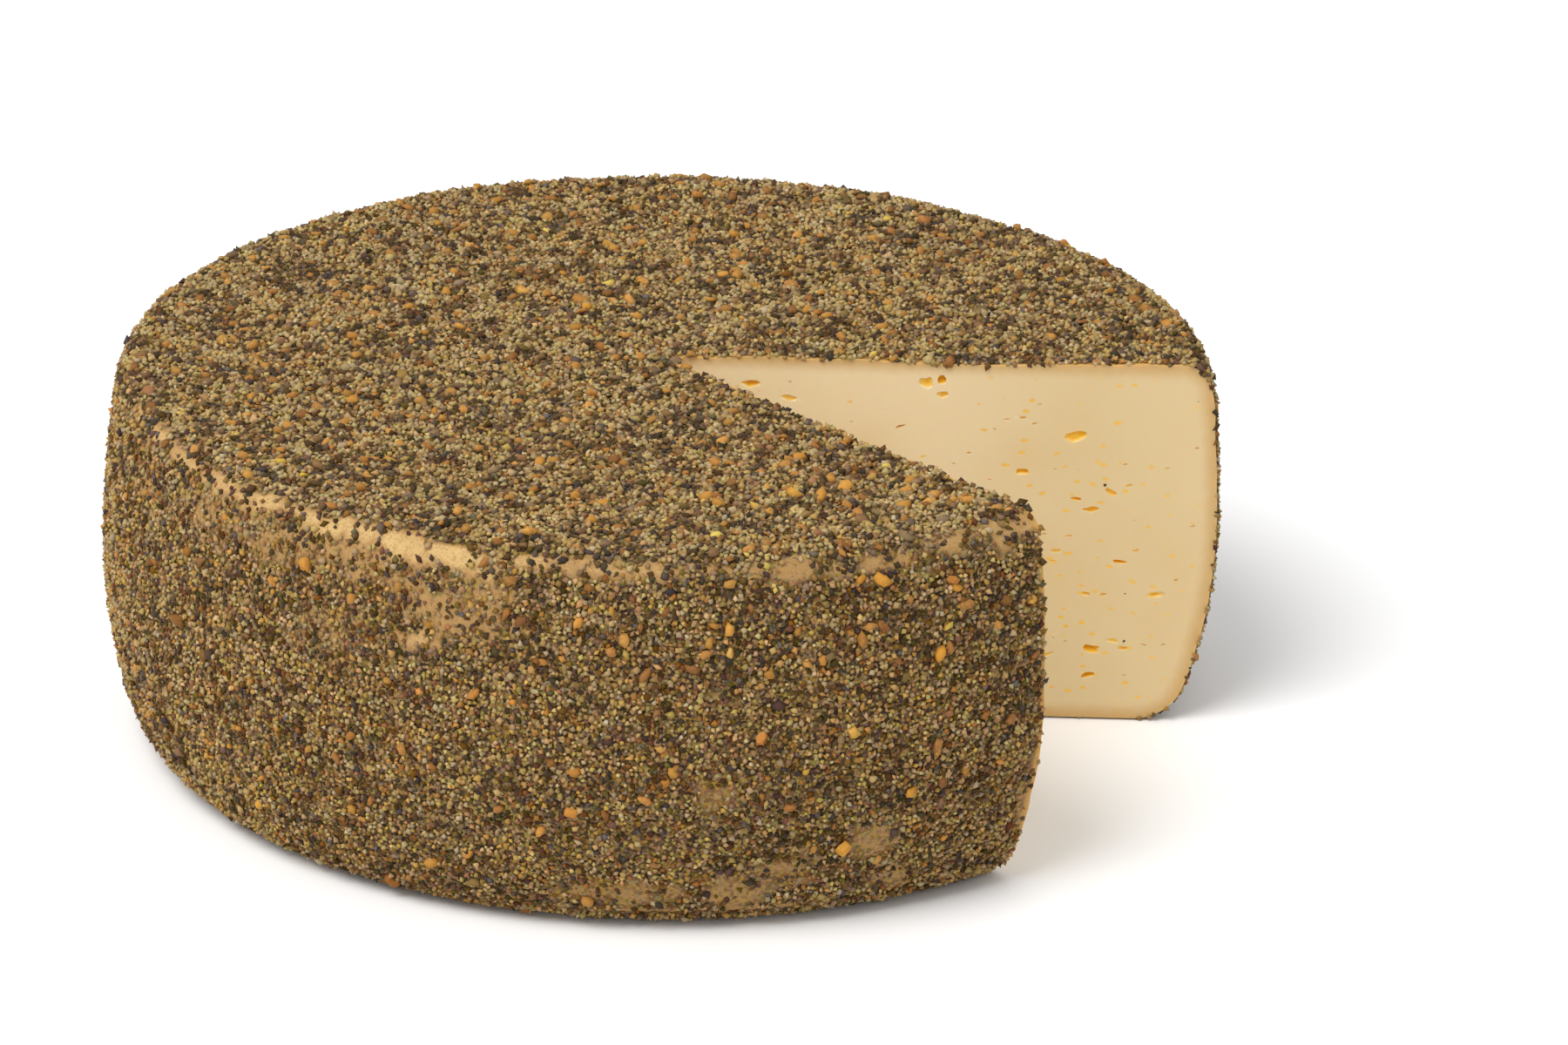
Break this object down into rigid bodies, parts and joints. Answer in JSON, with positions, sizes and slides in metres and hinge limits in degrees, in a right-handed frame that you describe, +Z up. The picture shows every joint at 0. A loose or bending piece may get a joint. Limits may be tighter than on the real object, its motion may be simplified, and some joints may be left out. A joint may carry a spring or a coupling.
{
  "type": "pepper-coated cheese wheel",
  "caption": "Round firm cheese in a coat of coarse pepper and lemon peel, with a wedge-shaped notch cut to its middle that shows the pale paste and its small eyes.",
  "frame": {"origin": "centre of the flat base on the resting plane, on the axis of the round wheel", "axes": "+Z up along the wheel's axis; the notch opens towards +X and -Y, between 2 and 49 degrees clockwise from +X seen from above"},
  "size_m": [0.2507, 0.2504, 0.0877],
  "materials": {
    "peppered_rind": "rough tan rind under a close coat of crushed spice",
    "cheese_paste": "smooth, slightly moist cut face",
    "pepper_grains": "dry broken peppercorn",
    "lemon_peel": "dry chopped peel"
  },
  "bodies": {
    "root": {"cheese_wheel": "peppered_rind"}
  },
  "joints": []
}
